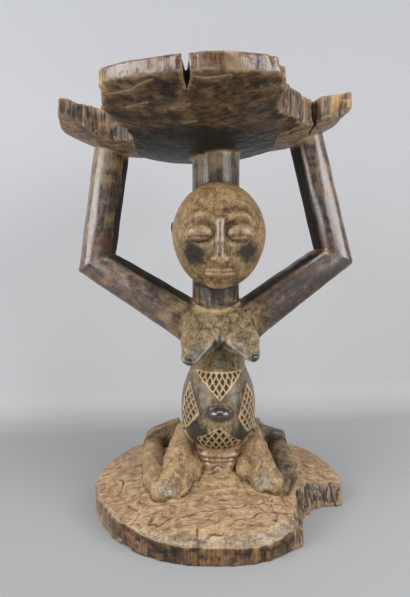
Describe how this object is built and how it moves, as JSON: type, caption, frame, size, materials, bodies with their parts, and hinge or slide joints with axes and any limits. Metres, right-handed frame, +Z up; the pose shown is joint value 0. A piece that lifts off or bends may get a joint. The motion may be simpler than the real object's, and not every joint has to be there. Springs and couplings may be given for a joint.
{
  "type": "luba caryatid stool",
  "caption": "Carved wooden stool: a kneeling woman on a round domed base holds up a shallow round seat with raised arms and a column behind her head.",
  "frame": {"origin": "middle of the base's flat underside", "axes": "+Z up along the column, -Y towards the front that the figure faces, +X to the right as seen from the front"},
  "size_m": [0.2897, 0.282, 0.405],
  "materials": {
    "carved_wood": "old hand-carved hardwood, dark polished patina on arms and belly, dusty matte base, worn orange-brown edges"
  },
  "bodies": {
    "root": {"caryatid_stool": "carved_wood"}
  },
  "joints": []
}
